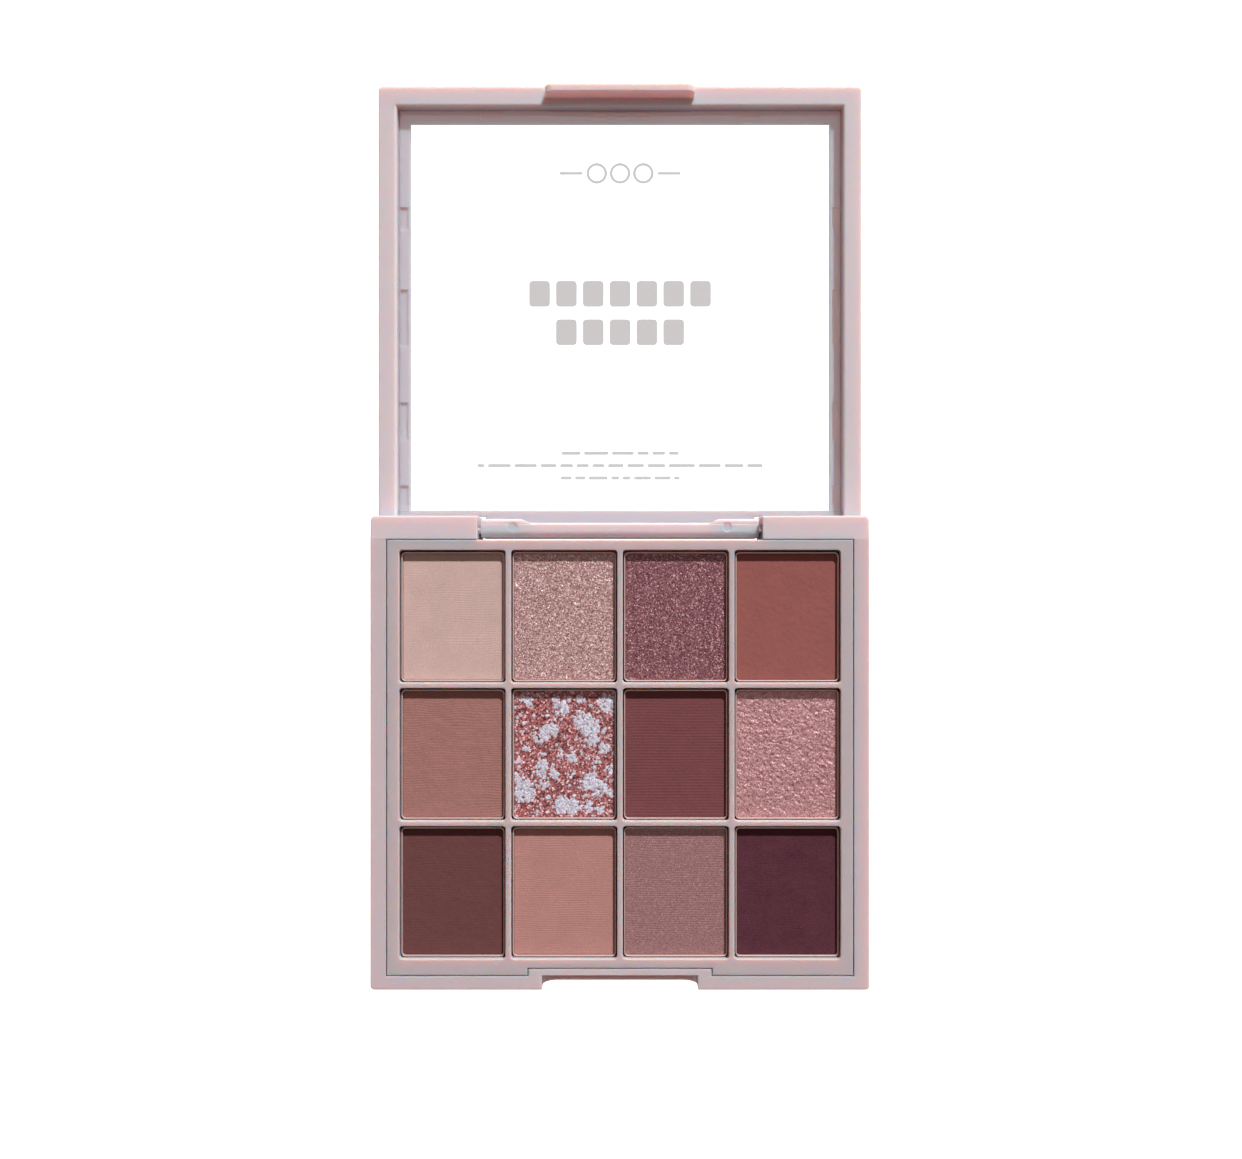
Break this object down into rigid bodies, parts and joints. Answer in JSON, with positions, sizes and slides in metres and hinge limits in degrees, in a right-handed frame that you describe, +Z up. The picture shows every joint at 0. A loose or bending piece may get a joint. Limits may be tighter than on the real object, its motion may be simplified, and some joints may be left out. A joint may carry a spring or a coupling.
{
  "type": "eyeshadow palette",
  "caption": "Flat square make-up case lying open: rows of metal pans with pressed powder in a moulded tray, and a hinged lid with a clear window.",
  "frame": {"origin": "on the table, straight under the hinge axis, at the middle of the open palette", "axes": "+Z up, +X to the right along the hinge axis, +Y from the pans towards the opened lid"},
  "size_m": [0.095, 0.175, 0.012],
  "materials": {
    "case_plastic": "satin moulded plastic, dusty pink",
    "clear_plastic": "clear moulded plastic, polished",
    "pan_metal": "thin drawn metal, satin",
    "pin_steel": "drawn steel wire",
    "glue": "dried adhesive",
    "label_paper": "blank coated label",
    "powder_a1": "pressed powder, matte beige",
    "powder_a2": "pressed powder, champagne pink glitter",
    "powder_a3": "pressed powder, plum mauve glitter",
    "powder_a4": "pressed powder, matte terracotta",
    "powder_b1": "pressed powder, matte dusty rose",
    "powder_b2": "pressed powder, rose copper with white flakes",
    "powder_b3": "pressed powder, matte rosewood",
    "powder_b4": "pressed foil, metallic pink",
    "powder_c1": "pressed powder, matte chocolate",
    "powder_c2": "pressed powder, matte peach tan",
    "powder_c3": "pressed powder, satin taupe",
    "powder_c4": "pressed powder, matte dark plum"
  },
  "bodies": {
    "base": {"base_shell": "case_plastic", "bottom_label": "label_paper", "hinge_pin_left": "pin_steel", "hinge_pin_right": "pin_steel", "pan_a1": "pan_metal", "pan_a2": "pan_metal", "pan_a3": "pan_metal", "pan_a4": "pan_metal", "pan_b1": "pan_metal", "pan_b2": "pan_metal", "pan_b3": "pan_metal", "pan_b4": "pan_metal", "pan_c1": "pan_metal", "pan_c2": "pan_metal", "pan_c3": "pan_metal", "pan_c4": "pan_metal", "pan_glue_dots": "glue", "pan_tray": "case_plastic", "powder_a1": "powder_a1", "powder_a2": "powder_a2", "powder_a3": "powder_a3", "powder_a4": "powder_a4", "powder_b1": "powder_b1", "powder_b2": "powder_b2", "powder_b3": "powder_b3", "powder_b4": "powder_b4", "powder_c1": "powder_c1", "powder_c2": "powder_c2", "powder_c3": "powder_c3", "powder_c4": "powder_c4"},
    "lid": {"lid_frame": "case_plastic", "lid_window": "clear_plastic"}
  },
  "joints": [
    {"name": "lid_hinge", "type": "hinge", "parent": "base", "child": "lid", "pos_m": [0, 0, 0.00805], "axis": [1, 0, 0], "range_deg": [0, 180]}
  ]
}
